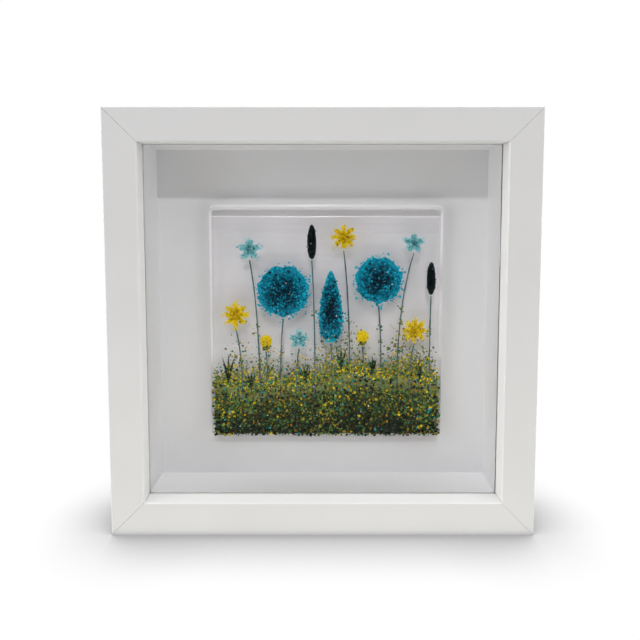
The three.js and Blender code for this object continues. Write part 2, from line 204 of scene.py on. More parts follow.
def hang_key_lamp():
    """A small disc lamp along the direction that the rail's shadow gives."""
    lamp = bpy.data.lights.new("key_lamp", "AREA")
    lamp.shape = "DISK"
    lamp.size = KEY_SIZE
    lamp.energy = KEY_POWER
    key = bpy.data.objects.new("key_lamp", lamp)
    toward = np.array([KEY_SIDE, -1.0, KEY_SLOPE])
    toward /= np.linalg.norm(toward)
    key.location = np.array([0.0, 0.0, MIDDLE]) + KEY_REACH * toward
    yaw = math.atan2(toward[0], -toward[1])
    key.rotation_euler = (math.acos(toward[2]), 0.0, yaw)
    scene.collection.objects.link(key)


def lay_table_bounce():
    """The warm light that a pale table throws back up at the frame from in front of it."""
    lamp = bpy.data.lights.new("table_bounce", "AREA")
    lamp.shape = "RECTANGLE"
    lamp.size = TABLE_WIDTH
    lamp.size_y = TABLE_DEPTH
    lamp.energy = TABLE_POWER
    lamp.color = TABLE_TINT
    bounce = bpy.data.objects.new("table_bounce", lamp)
    bounce.location = (0.0, FRONT - TABLE_GAP - TABLE_DEPTH / 2, TABLE_LIFT)
    bounce.rotation_euler = (math.pi, 0.0, 0.0)
    bounce.visible_camera = False
    scene.collection.objects.link(bounce)


def roll_out_floor():
    """A flat white floor that glows, level with the underside of the frame, with a soft contact
    shadow painted into its glow: darker where the frame stands near."""
    mesh = bpy.data.meshes.new("studio_floor")
    corners = [(x * FLOOR_REACH, y * FLOOR_REACH, 0.0) for x, y in ((-1, -1), (1, -1), (1, 1), (-1, 1))]
    mesh.from_pydata(corners, [], [(0, 1, 2, 3)])
    floor = bpy.data.objects.new("studio_floor", mesh)
    scene.collection.objects.link(floor)
    material, tree, output = new_material("studio_floor")
    # Painted shadow: an occlusion node darkens the floor's glow near the frame.
    near = add_node(tree, "ShaderNodeAmbientOcclusion", Distance=CONTACT_REACH)
    ramp = tone_ramp(tree, near.outputs["AO"], CONTACT_STOPS)
    glow = add_node(tree, "ShaderNodeEmission", Strength=PAPER_WHITE)
    tree.links.new(ramp.outputs["Color"], glow.inputs["Color"])
    tree.links.new(glow.outputs["Emission"], output.inputs["Surface"])
    mesh.materials.append(material)
    floor.visible_diffuse = False
    floor.visible_glossy = False


light_the_room()
hang_key_lamp()
lay_table_bounce()
roll_out_floor()


# Rails
# Four mitred lengths of wood, primed and sprayed with a satin white lacquer that has a
# faint orange-peel skin, and glued at the corners, where a hairline shows. The lacquer carries
# painted shade: it is greyer on the front faces and whiter on the sides, where more light falls.
LACQUER_FRONT_SHADED = (0.55, 0.547, 0.545)
LACQUER_SIDE_LIT = (0.63, 0.63, 0.618)


def object_noise(tree, scale, detail=4.0, stretch=(1.0, 1.0, 1.0)):
    """Noise on object coordinates, stretched by a scale for each axis."""
    place = tree.nodes.new("ShaderNodeTexCoord")
    turn = add_node(tree, "ShaderNodeMapping", Scale=stretch)
    noise = add_node(tree, "ShaderNodeTexNoise", Scale=scale, Detail=detail)
    tree.links.new(place.outputs["Object"], turn.inputs["Vector"])
    tree.links.new(turn.outputs["Vector"], noise.inputs["Vector"])
    return noise


def add_bump(tree, shader, source, strength, distance):
    """Bump from a height source on a shader's normal."""
    bump = add_node(tree, "ShaderNodeBump", Strength=strength, Distance=distance)
    tree.links.new(source, bump.inputs["Height"])
    tree.links.new(bump.outputs["Normal"], shader.inputs["Normal"])


def dress(node, material):
    """Give a carried-over CAD node a material."""
    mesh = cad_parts[node].data
    mesh.materials.clear()
    mesh.materials.append(material)


def lacquer_material():
    """Satin white lacquer with slight clouding and orange peel, with painted shade: greyer where it faces
    the front, whiter on the sides.
    """
    material, tree, output = new_material("white_lacquer")
    shader = add_node(tree, "ShaderNodeBsdfPrincipled", Roughness=0.42, IOR=1.48)
    shape = tree.nodes.new("ShaderNodeNewGeometry")
    parts = tree.nodes.new("ShaderNodeSeparateXYZ")
    tree.links.new(shape.outputs["Normal"], parts.inputs["Vector"])
    # Painted shade: the colour runs from the side white to the greyer front white by how far the surface
    # faces the front.
    facing = math_node(tree, "MULTIPLY", parts.outputs["Y"], -1.0)
    white = tone_ramp(tree, facing, [(0.2, LACQUER_SIDE_LIT), (0.9, LACQUER_FRONT_SHADED)])
    cloud = object_noise(tree, 28.0)
    veil = tone_ramp(tree, cloud.outputs["Fac"], [(0.3, (0.965,) * 3), (0.7, (1.0,) * 3)])
    tint = tree.nodes.new("ShaderNodeVectorMath")
    tint.operation = "MULTIPLY"
    tree.links.new(white.outputs["Color"], tint.inputs[0])
    tree.links.new(veil.outputs["Color"], tint.inputs[1])
    tree.links.new(tint.outputs["Vector"], shader.inputs["Base Color"])
    peel = object_noise(tree, 900.0, detail=2.0)
    add_bump(tree, shader, peel.outputs["Fac"], 0.25, 0.00004)
    tree.links.new(shader.outputs["BSDF"], output.inputs["Surface"])
    return material


lacquer = lacquer_material()
for side in ("bottom", "top", "left", "right"):
    dress(f"rail_{side}", lacquer)


# Front glass
# One sheet of 2 mm float glass behind the lip. It is thin and flat, so it lets the lamps
# straight through and only adds a faint gloss.
def pane_material():
    """Thin clear pane: see-through, with a Fresnel gloss."""
    material, tree, output = new_material("front_pane")
    clear = add_node(tree, "ShaderNodeBsdfTransparent", Color=(1.0, 1.0, 1.0, 1.0))
    gloss = add_node(tree, "ShaderNodeBsdfGlossy", Roughness=0.02)
    edge = add_node(tree, "ShaderNodeFresnel", IOR=1.12)
    mixed = mix_shaders(tree, edge.outputs["Fac"], clear.outputs["BSDF"], gloss.outputs["BSDF"])
    tree.links.new(mixed, output.inputs["Surface"])
    return material


dress("front_glass", pane_material())


# Spacers
# Strips of fibre board wrapped in a smooth white foil. They line the inside of the box and
# hold the card away from the front glass.
def foil_material():
    """White foil, smoother than the lacquer, with a faint cloud."""
    material, tree, output = new_material("white_foil")
    shader = add_node(tree, "ShaderNodeBsdfPrincipled", Roughness=0.5, IOR=1.46)
    cloud = object_noise(tree, 40.0)
    ramp = tone_ramp(tree, cloud.outputs["Fac"], [
        (0.3, (0.945, 0.94, 0.95)), (0.7, (0.965, 0.96, 0.97)),
    ])
    tree.links.new(ramp.outputs["Color"], shader.inputs["Base Color"])
    tree.links.new(shader.outputs["BSDF"], output.inputs["Surface"])
    return material


foil = foil_material()
for side in ("bottom", "top", "left", "right"):
    dress(f"spacer_{side}", foil)


# Backing card
# A sheet of white card with a very fine tooth. It lies on the back of the spacers, and the
# panel's pads are glued to it.
def card_material():
    """Matt white card with fine paper tooth."""
    material, tree, output = new_material("white_card")
    shader = add_node(tree, "ShaderNodeBsdfPrincipled", Roughness=0.9, IOR=1.4)
    cloud = object_noise(tree, 22.0, detail=6.0)
    ramp = tone_ramp(tree, cloud.outputs["Fac"], [
        (0.35, (0.765, 0.76, 0.775)), (0.65, (0.785, 0.78, 0.795)),
    ])
    tree.links.new(ramp.outputs["Color"], shader.inputs["Base Color"])
    tooth = object_noise(tree, 1500.0, detail=3.0)
    add_bump(tree, shader, tooth.outputs["Fac"], 0.3, 0.00003)
    tree.links.new(shader.outputs["BSDF"], output.inputs["Surface"])
    return material


dress("backing_card", card_material())


# Back board
# Pressed brown hardboard, flecked with fibres and matt. It lies on the back of the card in
# the rails' rebate, and the tabs hold it in.
def board_material():
    """Brown hardboard: fine flecks of three browns, drawn out a little, on a rough skin."""
    material, tree, output = new_material("hardboard")
    shader = add_node(tree, "ShaderNodeBsdfPrincipled", Roughness=0.82, IOR=1.4)
    fleck = object_noise(tree, 320.0, detail=8.0, stretch=(1.0, 1.0, 2.2))
    ramp = tone_ramp(tree, fleck.outputs["Fac"], [
        (0.30, (0.13, 0.075, 0.036)), (0.50, (0.24, 0.145, 0.075)), (0.72, (0.36, 0.24, 0.135)),
    ])
    tree.links.new(ramp.outputs["Color"], shader.inputs["Base Color"])
    add_bump(tree, shader, fleck.outputs["Fac"], 0.5, 0.00012)
    tree.links.new(shader.outputs["BSDF"], output.inputs["Surface"])
    return material


dress("back_board", board_material())


# Tabs, hanger and rivets
# Zinc-plated spring steel, stamped from sheet, with fine rolling marks. The tabs sit in saw
# kerfs in the rails, and two rivets hold the hanger to the board.
def steel_material():
    """Plated steel: metallic, with streaks along the sheet."""
    material, tree, output = new_material("plated_steel")
    shader = add_node(tree, "ShaderNodeBsdfPrincipled", Metallic=1.0, Roughness=0.36)
    streak = object_noise(tree, 260.0, detail=5.0, stretch=(0.25, 1.0, 3.0))
    ramp = tone_ramp(tree, streak.outputs["Fac"], [(0.3, (0.50, 0.50, 0.51)), (0.7, (0.68, 0.68, 0.69))])
    tree.links.new(ramp.outputs["Color"], shader.inputs["Base Color"])
    rough = tone_ramp(tree, streak.outputs["Fac"], [(0.2, (0.26,) * 3), (0.8, (0.46,) * 3)])
    tree.links.new(rough.outputs["Color"], shader.inputs["Roughness"])
    tree.links.new(shader.outputs["BSDF"], output.inputs["Surface"])
    return material


steel = steel_material()
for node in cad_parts:
    if node.startswith(("tab_", "hanger", "rivet_")):
        dress(node, steel)


# Stand-off pads
# Short columns of white foam, glued to the card and to the back of the panel, which they
# hold a little way off the card.
def foam_material():
    """White closed-cell foam, faintly pitted."""
    material, tree, output = new_material("white_foam")
    shader = add_node(tree, "ShaderNodeBsdfPrincipled", Roughness=0.85, IOR=1.4)
    cell = object_noise(tree, 1100.0, detail=2.0)
    ramp = tone_ramp(tree, cell.outputs["Fac"], [(0.3, (0.74, 0.74, 0.74)), (0.6, (0.80, 0.80, 0.80))])
    tree.links.new(ramp.outputs["Color"], shader.inputs["Base Color"])
    add_bump(tree, shader, cell.outputs["Fac"], 0.6, 0.0001)
    tree.links.new(shader.outputs["BSDF"], output.inputs["Surface"])
    return material


foam = foam_material()
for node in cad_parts:
    if node.startswith("pad_"):
        dress(node, foam)


# Fused panel
# Two sheets of clear glass melted into one slab. The kiln drew its edges in, rounded them
# and left them slightly milky; the milk grows where an edge faces up, a painted highlight of
# the light from above. The faces have a very slight drawn ripple. A low milky ridge below the
# top edge is painted light too: it stands in for the bright caustic line the lamp throws on the card.
RIM_RUN = 0.0036
RIM_FALL = 0.0008
RIM_BACK = 0.0012
# The ridge below the top edge is painted light, standing in for the lamp's caustic line on the card.
RIDGE_INSET = 0.0078
RIDGE_WIDTH = 0.0009
RIDGE_RISE = 0.00016
RIDGE_END = 0.001
RIDGE_COLUMNS = 60
RIDGE_ROWS = 5
PANEL_CORNER = 0.0042
CORNER_STEPS = 14
RIM_STEPS = 12
BACK_STEPS = 6
RIM_MILK = 0.98


def box_corners(node):
    """The low and the high corner of a node's box, as arrays."""
    low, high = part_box(node)
    return np.array(low), np.array(high)


def new_mesh_object(name, points, faces):
    """A linked, smooth mesh object from an array of points and a list or array of faces."""
    mesh = bpy.data.meshes.new(name)
    mesh.from_pydata(points.tolist(), [], [tuple(face) for face in faces])
    mesh.update()
    mesh.polygons.foreach_set("use_smooth", np.full(len(mesh.polygons), True))
    piece = bpy.data.objects.new(name, mesh)
    scene.collection.objects.link(piece)
    return piece


def rounded_square(half_x, half_z, corner):
    """The outline of a round-cornered rectangle: each corner is a quarter circle of the
    given radius about a centre set in from the corner by PANEL_CORNER."""
    turn = np.linspace(0.0, math.pi / 2, CORNER_STEPS)
    outline = []
    for quarter, (sx, sz) in enumerate([(1, 1), (-1, 1), (-1, -1), (1, -1)]):
        angle = turn + quarter * math.pi / 2
        x = sx * (half_x - PANEL_CORNER) + corner * np.cos(angle)
        z = sz * (half_z - PANEL_CORNER) + corner * np.sin(angle)
        outline.append(np.column_stack([x, z]))
    return np.concatenate(outline)


def panel_rings():
    """The slab's outlines from the front face to the back face, and how far each is set in.
    The front edge is a quarter ellipse, RIM_RUN wide and RIM_FALL deep, the side is
    straight, and the back edge is a small quarter circle."""
    low, high = box_corners("glass_panel")
    centre = (low + high) / 2
    half_x, half_z = (high[0] - low[0]) / 2, (high[2] - low[2]) / 2
    angle = np.linspace(math.pi / 2, 0.0, RIM_STEPS)
    back = np.linspace(0.0, math.pi / 2, BACK_STEPS)
    inset = np.concatenate([RIM_RUN * (1 - np.cos(angle)), RIM_BACK * (1 - np.cos(back))])
    depth = np.concatenate([low[1] + RIM_FALL * (1 - np.sin(angle)),
                            high[1] - RIM_BACK * (1 - np.sin(back))])
    rings = []
    for step_in, y in zip(inset, depth):
        ring = rounded_square(half_x, half_z, PANEL_CORNER - step_in)
        depths = np.full(len(ring), y)
        rings.append(np.column_stack([centre[0] + ring[:, 0], depths, centre[2] + ring[:, 1]]))
    return rings


def band_quads(count, rings):
    """The four-sided faces of a closed band: rings of count points, each joined to the next."""
    around = np.arange(count)
    onward = (around + 1) % count
    base = count * np.arange(rings - 1)[:, None]
    quads = np.stack([base + around, base + count + around, base + count + onward, base + onward], axis=2)
    return quads.reshape(-1, 4).tolist()


def band_of_rings(name, rings):
    """A closed band through a list of rings of points."""
    return new_mesh_object(name, np.concatenate(rings), band_quads(len(rings[0]), len(rings)))


def make_panel():
    """The slab in three pieces that meet edge to edge: its two flat faces, the rolled front
    edge, and the side with the small back edge."""
    rings = panel_rings()
    count = len(rings[0])
    faces = [tuple(range(count)), tuple(range(2 * count - 1, count - 1, -1))]
    flats = new_mesh_object("fused_panel", np.concatenate([rings[0], rings[-1]]), faces)
    edge = band_of_rings("fused_edge", rings[:RIM_STEPS])
    rim = band_of_rings("fused_rim", rings[RIM_STEPS - 1:])
    return flats, edge, rim


def grid_corners(columns, rows):
    """The first corner of each cell in a grid of points, row by row."""
    return (columns * np.arange(rows - 1)[:, None] + np.arange(columns - 1)).ravel()


def make_caustic_ridge():
    """A low milky ridge below the top edge, painted light that stands in for the bright caustic
    line the lamp throws on the card: its section is half a sine wave and its line wanders a little."""
    low, high = box_corners("glass_panel")
    x = np.linspace(low[0] + RIDGE_END, high[0] - RIDGE_END, RIDGE_COLUMNS)
    share = np.linspace(0.0, 1.0, RIDGE_ROWS)[:, None]
    wander = 0.0001 * np.sin(x * 70.0) + 0.00006 * np.sin(x * 190.0 + 1.0)
    z = high[2] - RIDGE_INSET + RIDGE_WIDTH * (0.5 - share) + wander
    y = low[1] - RIDGE_RISE * np.sin(math.pi * share) + 0 * x
    points = np.stack([x + 0 * share, y, z], axis=2).reshape(-1, 3)
    corner = grid_corners(RIDGE_COLUMNS, RIDGE_ROWS)
    above = corner + RIDGE_COLUMNS
    faces = np.column_stack([corner, above, above + 1, corner + 1])
    return new_mesh_object("fused_caustic_ridge", points, faces.tolist())


def clear_shader(tree):
    """Clear fused glass: plain transmission, with drawn streaks and a faint ripple."""
    shader = add_node(tree, "ShaderNodeBsdfPrincipled", Roughness=0.0, IOR=1.5, Transmission_Weight=1.0)
    streak = object_noise(tree, 60.0, detail=4.0, stretch=(0.12, 1.0, 7.0))
    ramp = tone_ramp(tree, streak.outputs["Fac"], [
        (0.35, (0.97, 0.95, 0.975)), (0.65, (1.0, 0.985, 1.0)),
    ])
    tree.links.new(ramp.outputs["Color"], shader.inputs["Base Color"])
    ripple = object_noise(tree, 160.0, detail=3.0, stretch=(0.25, 1.0, 1.6))
    add_bump(tree, shader, ripple.outputs["Fac"], 0.12, 0.0002)
    return shader


def fused_glass_material():
    """Clear fused glass for the faces of the slab."""
    material, tree, output = new_material("fused_glass")
    tree.links.new(clear_shader(tree).outputs["BSDF"], output.inputs["Surface"])
    return material


def milky_shader(tree):
    """The thin milky skin that the kiln leaves on the edges; on the ridge it is painted light."""
    white = (0.95, 0.95, 0.96, 1.0)
    return add_node(tree, "ShaderNodeBsdfPrincipled", Roughness=0.2, IOR=1.5, Base_Color=white)


def upward_share(tree, least, gain, most):
    """A share that grows with how far the outer side of the surface faces up: the upward
    part of its normal times the gain, not under zero, plus the least, up to the most."""
    shape = tree.nodes.new("ShaderNodeNewGeometry")
    parts = tree.nodes.new("ShaderNodeSeparateXYZ")
    tree.links.new(shape.outputs["Normal"], parts.inputs["Vector"])
    turned = math_node(tree, "MULTIPLY", shape.outputs["Backfacing"], -2.0)
    outward = math_node(tree, "MULTIPLY", parts.outputs["Z"], math_node(tree, "ADD", turned, 1.0))
    facing = math_node(tree, "MAXIMUM", math_node(tree, "MULTIPLY", outward, gain), 0.0)
    return math_node(tree, "MINIMUM", math_node(tree, "ADD", facing, least), most)


def fused_edge_material(name, least, gain, most):
    """Clear glass under a milky skin, more of it where the surface faces up: partly the kiln's skin, partly
    a painted highlight of light from above.
    """
    material, tree, output = new_material(name)
    share = upward_share(tree, least, gain, most)
    glass = clear_shader(tree).outputs["BSDF"]
    mixed = mix_shaders(tree, share, glass, milky_shader(tree).outputs["BSDF"])
    tree.links.new(mixed, output.inputs["Surface"])
    return material


def fused_rim_material():
    """The rim: clear glass under a thin milky skin, which lets more light by underneath."""
    material, tree, output = new_material("fused_rim")
    glass = clear_shader(tree).outputs["BSDF"]
    skin = mix_shaders(tree, RIM_MILK, glass, milky_shader(tree).outputs["BSDF"])
    open_air = tree.nodes.new("ShaderNodeBsdfTransparent")
    share = upward_share(tree, 0.0, -1.6, 0.85)
    tree.links.new(mix_shaders(tree, share, skin, open_air.outputs["BSDF"]), output.inputs["Surface"])
    return material


panel, panel_edge, panel_rim = make_panel()
caustic_ridge = make_caustic_ridge()
panel.data.materials.append(fused_glass_material())
# Painted highlight: the edge and the ridge get more milky white where they face up, as if lit from above.
panel_edge.data.materials.append(fused_edge_material("fused_edge", 0.08, 2.6, 0.6))
caustic_ridge.data.materials.append(fused_edge_material("fused_caustic_ridge", 0.08, 3.0, 0.95))
panel_rim.data.materials.append(fused_rim_material())
for piece in (panel, panel_edge, caustic_ridge):
    piece.visible_shadow = False
    piece.visible_diffuse = False
for piece in (panel, panel_edge, panel_rim, caustic_ridge):
    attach(piece, "root")
    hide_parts("glass_panel")


# Crushed glass
# Broken glass of mixed sizes, heaped on the panel and fired until the grains slump into
# rounded beads. It is bright where one bead lies alone and nearly black in a thick heap.
PANEL_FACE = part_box("glass_panel")[0][1]
PANEL_SINK = 0.0001
GRAIN_PUSH = (0.82, 1.12)
GRAIN_STRETCH = (0.7, 1.25)
GRAIN_JITTER = 0.7
GRAIN_LEAN = 1.8
GLINT_SIZE = 0.6
TEAL = [(0.001, 0.010, 0.020), (0.002, 0.040, 0.075), (0.003, 0.16, 0.26), (0.005, 0.33, 0.48),
        (0.01, 0.48, 0.66)]
YELLOW = [(0.30, 0.15, 0.003), (0.62, 0.40, 0.004), (0.88, 0.64, 0.006), (0.95, 0.76, 0.02)]
PALE = [(0.05, 0.17, 0.21), (0.10, 0.34, 0.38), (0.20, 0.55, 0.60), (0.34, 0.70, 0.74)]
DARK = [(0.001, 0.003, 0.004), (0.003, 0.008, 0.010), (0.008, 0.024, 0.026)]
GREEN = [(0.008, 0.022, 0.008), (0.03, 0.08, 0.02), (0.07, 0.18, 0.045), (0.13, 0.27, 0.06)]
OLIVE = [(0.02, 0.018, 0.003), (0.11, 0.095, 0.012), (0.25, 0.22, 0.02), (0.36, 0.33, 0.04)]
AMBER = [(0.05, 0.03, 0.003), (0.20, 0.13, 0.006), (0.42, 0.30, 0.01), (0.66, 0.50, 0.02)]
SEA = [(0.002, 0.02, 0.02), (0.006, 0.09, 0.08), (0.02, 0.22, 0.21), (0.05, 0.36, 0.36)]


def grain_form():
    """The twelve corners and twenty faces of an icosahedron of radius one."""
    golden = (1 + math.sqrt(5)) / 2
    corners = []
    for a in (-1, 1):
        for b in (-golden, golden):
            corners += [(0, a, b), (a, b, 0), (b, 0, a)]
    corners = np.array(corners, dtype=float) / math.hypot(1, golden)
    gaps = np.linalg.norm(corners[:, None] - corners[None], axis=2)
    near = gaps < 1.1 * gaps[gaps > 0.1].min()
    faces = []
    for i in range(12):
        for j in range(i + 1, 12):
            for k in range(j + 1, 12):
                if near[i, j] and near[j, k] and near[i, k]:
                    middle = corners[[i, j, k]].mean(axis=0)
                    turn = np.cross(corners[j] - corners[i], corners[k] - corners[i])
                    faces.append((i, j, k) if turn @ middle > 0 else (i, k, j))
    return corners, np.array(faces)


GRAIN_CORNERS, GRAIN_FACES = grain_form()


def random_turns(rng, count):
    """Rotation matrices of random unit quaternions, by the usual formula."""
    turn = rng.normal(size=(count, 4))
    turn /= np.linalg.norm(turn, axis=1, keepdims=True)
    w, x, y, z = turn.T
    return np.stack([
        np.stack([1 - 2 * (y * y + z * z), 2 * (x * y - w * z), 2 * (x * z + w * y)], axis=1),
        np.stack([2 * (x * y + w * z), 1 - 2 * (x * x + z * z), 2 * (y * z - w * x)], axis=1),
        np.stack([2 * (x * z - w * y), 2 * (y * z + w * x), 1 - 2 * (x * x + y * y)], axis=1),
    ], axis=1)


def heap_of_grains(name, centres, sizes, colours, seed, coat=None):
    """One joined mesh of grains. Each grain is an icosahedron whose corners are pushed in
    or out by chance, stretched by chance along its own axes, turned by a random rotation
    and set at its centre. Its colour goes into the point attribute grain_colour. A coat is
    the points, faces and colours of the melted glass under the grains."""
    rng = np.random.default_rng(seed)
    count = len(centres)
    spin = random_turns(rng, count)
    push = rng.uniform(*GRAIN_PUSH, size=(count, 12, 1))
    stretch = rng.uniform(*GRAIN_STRETCH, size=(count, 1, 3))
    corners = GRAIN_CORNERS[None] * push * stretch * sizes[:, None, None]
    corners = np.einsum("nij,nkj->nki", spin, corners) + centres[:, None]
    corners[:, :, 1] = np.minimum(corners[:, :, 1], PANEL_FACE + PANEL_SINK)
    points = corners.reshape(-1, 3)
    faces = (GRAIN_FACES[None] + 12 * np.arange(count)[:, None, None]).reshape(-1, 3)
    painted = np.repeat(colours, 12, axis=0)
    if coat is not None:
        faces = np.concatenate([faces, coat[1] + len(points)])
        points = np.concatenate([points, coat[0]])
        painted = np.concatenate([painted, coat[2]])
    piece = new_mesh_object(name, points, faces)
    tint = piece.data.attributes.new("grain_colour", "FLOAT_COLOR", "POINT")
    tint.data.foreach_set("color", np.column_stack([painted, np.ones(len(painted))]).ravel())
    piece.data.materials.append(crushed)
    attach(piece, "root")
    return piece


def along_ramp(ramp, place):
    """Colours at places from 0 to 1 along a ramp of evenly spaced colours."""
    ramp = np.array(ramp)
    place = np.clip(place, 0.0, 1.0) * (len(ramp) - 1)
    index = np.minimum(place.astype(int), len(ramp) - 2)
    part = (place - index)[:, None]
    return (1 - part) * ramp[index] + part * ramp[index + 1]


def mixed_colours(rng, ramps, shares, place):
    """Colours from several ramps, picked by their shares, each at its own place."""
    choice = rng.choice(len(ramps), size=len(place), p=np.array(shares) / np.sum(shares))
    table = np.stack([along_ramp(ramp, place) for ramp in ramps])
    return table[choice, np.arange(len(place))]


def add_glints(rng, sizes, colours, share, white):
    """A small share of the grains become fine and nearly white: painted glints, white grains that stand in
    for highlights where light catches the glass.
    """
    glint = rng.random(len(sizes)) < share
    colours[glint] = white
    sizes[glint] *= GLINT_SIZE


def grain_material():
    """Fused coloured glass grains: deep glossy colour from the grain's own attribute."""
    material, tree, output = new_material("crushed_glass")
    shader = add_node(tree, "ShaderNodeBsdfPrincipled", Roughness=0.2, IOR=1.33)
    tint = tree.nodes.new("ShaderNodeAttribute")
    tint.attribute_name = "grain_colour"
    tree.links.new(tint.outputs["Color"], shader.inputs["Base Color"])
    tree.links.new(shader.outputs["BSDF"], output.inputs["Surface"])
    return material


crushed = grain_material()


def settle_heap(rng, inside, box, spacing, least, most, rise):
    """Grains in a box of the panel's plane, kept where inside(x, z) says so, with their
    height above the panel from rise(x, z) and a little chance. Places are a jittered grid,
    and sizes lean to the small ones."""
    x0, x1, z0, z1 = box
    nx = max(2, int((x1 - x0) / spacing))
    nz = max(2, int((z1 - z0) / spacing))
    gx, gz = np.meshgrid(np.linspace(x0, x1, nx), np.linspace(z0, z1, nz))
    x = gx.ravel() + rng.uniform(-GRAIN_JITTER, GRAIN_JITTER, nx * nz) * spacing
    z = gz.ravel() + rng.uniform(-GRAIN_JITTER, GRAIN_JITTER, nx * nz) * spacing
    kept = inside(x, z)
    x, z = x[kept], z[kept]
    size = least + (most - least) * rng.random(len(x)) ** GRAIN_LEAN
    y = PANEL_FACE - rise(x, z) * rng.uniform(0.3, 1.0, len(x)) + 0.25 * size
    return np.column_stack([x, y, z]), size


# Flower heads
# Each flower is a small heap of crushed glass in its own colour: globes, a spike, daisies,
# stars, buds and reeds. The heap follows the outline that the real pieces were swept to.
HEAD_STYLE = {
    "teal_globe": dict(slot="frit_teal", ramp=TEAL, spacing=0.00095, most=0.00105, rise=0.0015),
    "teal_spike": dict(slot="frit_teal", ramp=TEAL, spacing=0.0009, most=0.00100, rise=0.0015),
    "yellow_daisy": dict(slot="frit_yellow", ramp=YELLOW, spacing=0.00072, most=0.00085, rise=0.0013),
    "pale_star": dict(slot="frit_pale", ramp=PALE, spacing=0.00075, most=0.00085, rise=0.0012),
    "yellow_bud": dict(slot="frit_yellow", ramp=YELLOW, spacing=0.0008, most=0.00085, rise=0.0013),
    "dark_reed": dict(slot="frit_dark", ramp=DARK, spacing=0.0007, most=0.0007, rise=0.0013),
}
PETALS = {"yellow_daisy": (8, 0.6, 0.42, 0.60), "pale_star": (5, 0.7, 0.34, 0.70)}
TAPERS = {"teal_spike": 0.5, "dark_reed": 0.1, "yellow_bud": -0.25}
GRAIN_LEAST = 0.00035
STRAY_SHARE = 0.22
STRAY_REACH = 1.22
TONE_CHANCE = 0.32
HEAD_GLINTS = 0.012
HEAD_COAT_HEIGHT = 0.3
HEAD_COAT_SHARE = 0.84


def head_frame(node):
    """The middle of a head's box on the panel, and half its width and height."""
    low, high = box_corners(node)
    return (low + high) / 2, (high[0] - low[0]) / 2, (high[2] - low[2]) / 2


def outline_share(kind, angle):
    """How far a head reaches in a direction, as a share of its half size. Petals are a
    cosine of the angle, of one sign, raised to a power that rounds them."""
    if kind not in PETALS:
        return np.ones_like(angle)
    count, roundness, heart, reach = PETALS[kind]
    return heart + reach * np.abs(np.cos(count * (angle - math.pi / 2) / 2)) ** roundness


def spike_width(kind, v):
    """A spike, reed or bud narrows towards one end: the width at each height from -1 to 1."""
    return np.sqrt(np.clip(1.0 - v * v, 0.0, 1.0)) * (1.0 - TAPERS[kind] * v)


def head_share(kind, u, v):
    """How far out a place is in a head, 0 in the middle and 1 on the outline. The place is
    in half widths u and half heights v from the middle."""
    if kind not in TAPERS:
        return np.hypot(u, v) / outline_share(kind, np.arctan2(v, u))
    across = np.abs(u) / np.maximum(spike_width(kind, v), 0.02)
    return np.where(np.abs(v) < 1, np.maximum(across, np.abs(v)), 2.0)


def head_tone(kind, share, v):
    """Where on its ramp of colours a place is: a dark heart and a bright edge, or, on a bud,
    a bright tip."""
    if kind in PETALS:
        return 0.25 + 0.75 * share
    if kind == "yellow_bud":
        return 0.75 + 0.35 * v
    return 0.12 + 0.85 * share ** 1.3


def head_coat(node, kind, middle, tone):
    """The melted layer under a head's grains: the node's own points, pressed down to a share
    of their height, and drawn in a little under petals, with its faces and its colours."""
    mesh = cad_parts[node].data
    mesh.calc_loop_triangles()
    points = np.array([tuple(v.co) for v in mesh.vertices])
    faces = np.array([tuple(t.vertices) for t in mesh.loop_triangles])
    points[:, 1] = PANEL_FACE + (points[:, 1] - PANEL_FACE) * HEAD_COAT_HEIGHT
    shades = along_ramp(HEAD_STYLE[kind]["ramp"], tone(points[:, 0], points[:, 2]) - 0.1)
    if kind in PETALS:
        points[:, [0, 2]] = middle[[0, 2]] + HEAD_COAT_SHARE * (points[:, [0, 2]] - middle[[0, 2]])
    return points, faces, shades


def make_head(node, seed):
    """A head's heap: grains inside its outline, thick in the middle, with stray grains
    just outside it, and colours that go from a dark heart to a bright edge."""
    kind = node.rsplit("_", 2)[0]
    style = HEAD_STYLE[kind]
    rng = np.random.default_rng(seed)
    middle, half_x, half_z = head_frame(node)

    def share(x, z):
        """How far out in the head a place is."""
        return head_share(kind, (x - middle[0]) / half_x, (z - middle[2]) / half_z)

    def inside(x, z):
        """Whether a place holds a grain: the outline is ragged, and some grains stray."""
        stray = rng.random(len(x)) < STRAY_SHARE
        reach = np.where(stray, rng.uniform(0.95, STRAY_REACH, len(x)), rng.normal(0.95, 0.06, len(x)))
        return share(x, z) < reach

    def rise(x, z):
        """The heap's height at a place: a dome."""
        return style["rise"] * np.sqrt(np.clip(1.1 - share(x, z) ** 2, 0.05, 1.0))

    def tone(x, z):
        """The place on the ramp of colours."""
        return head_tone(kind, share(x, z), (z - middle[2]) / half_z)

    box = (middle[0] - STRAY_REACH * half_x, middle[0] + STRAY_REACH * half_x,
           middle[2] - STRAY_REACH * half_z, middle[2] + STRAY_REACH * half_z)
    centres, sizes = settle_heap(rng, inside, box, style["spacing"], GRAIN_LEAST, style["most"], rise)
    place = tone(centres[:, 0], centres[:, 2]) + rng.normal(0.0, TONE_CHANCE, len(centres))
    colours = along_ramp(style["ramp"], place)
    if kind == "yellow_bud":
        cup = centres[:, 2] < middle[2] - 0.4 * half_z
        colours[cup] = along_ramp(GREEN, place)[cup]
    # Painted glints: a few white grains stand in for highlights.
    add_glints(rng, sizes, colours, HEAD_GLINTS, (0.85, 0.88, 0.88))
    coat = head_coat(node, kind, middle, tone)
    piece = heap_of_grains(f"{node}_grains", centres, sizes, colours, seed + 500, coat)
    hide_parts(node)


for number, node in enumerate(sorted(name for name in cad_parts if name.endswith("_head"))):
    make_head(node, 100 + number)


# Stems
# Thin glass rods, pulled by hand and laid on the panel, where the kiln sank them half in.
# Their feet run down into the ground bed.
STEM_RADIUS = 0.00041
STEM_SUNK = 0.009
STEM_BEND = 0.6
STEM_END = 0.0008
STEM_SIDES = 10
STEM_STEPS = 40


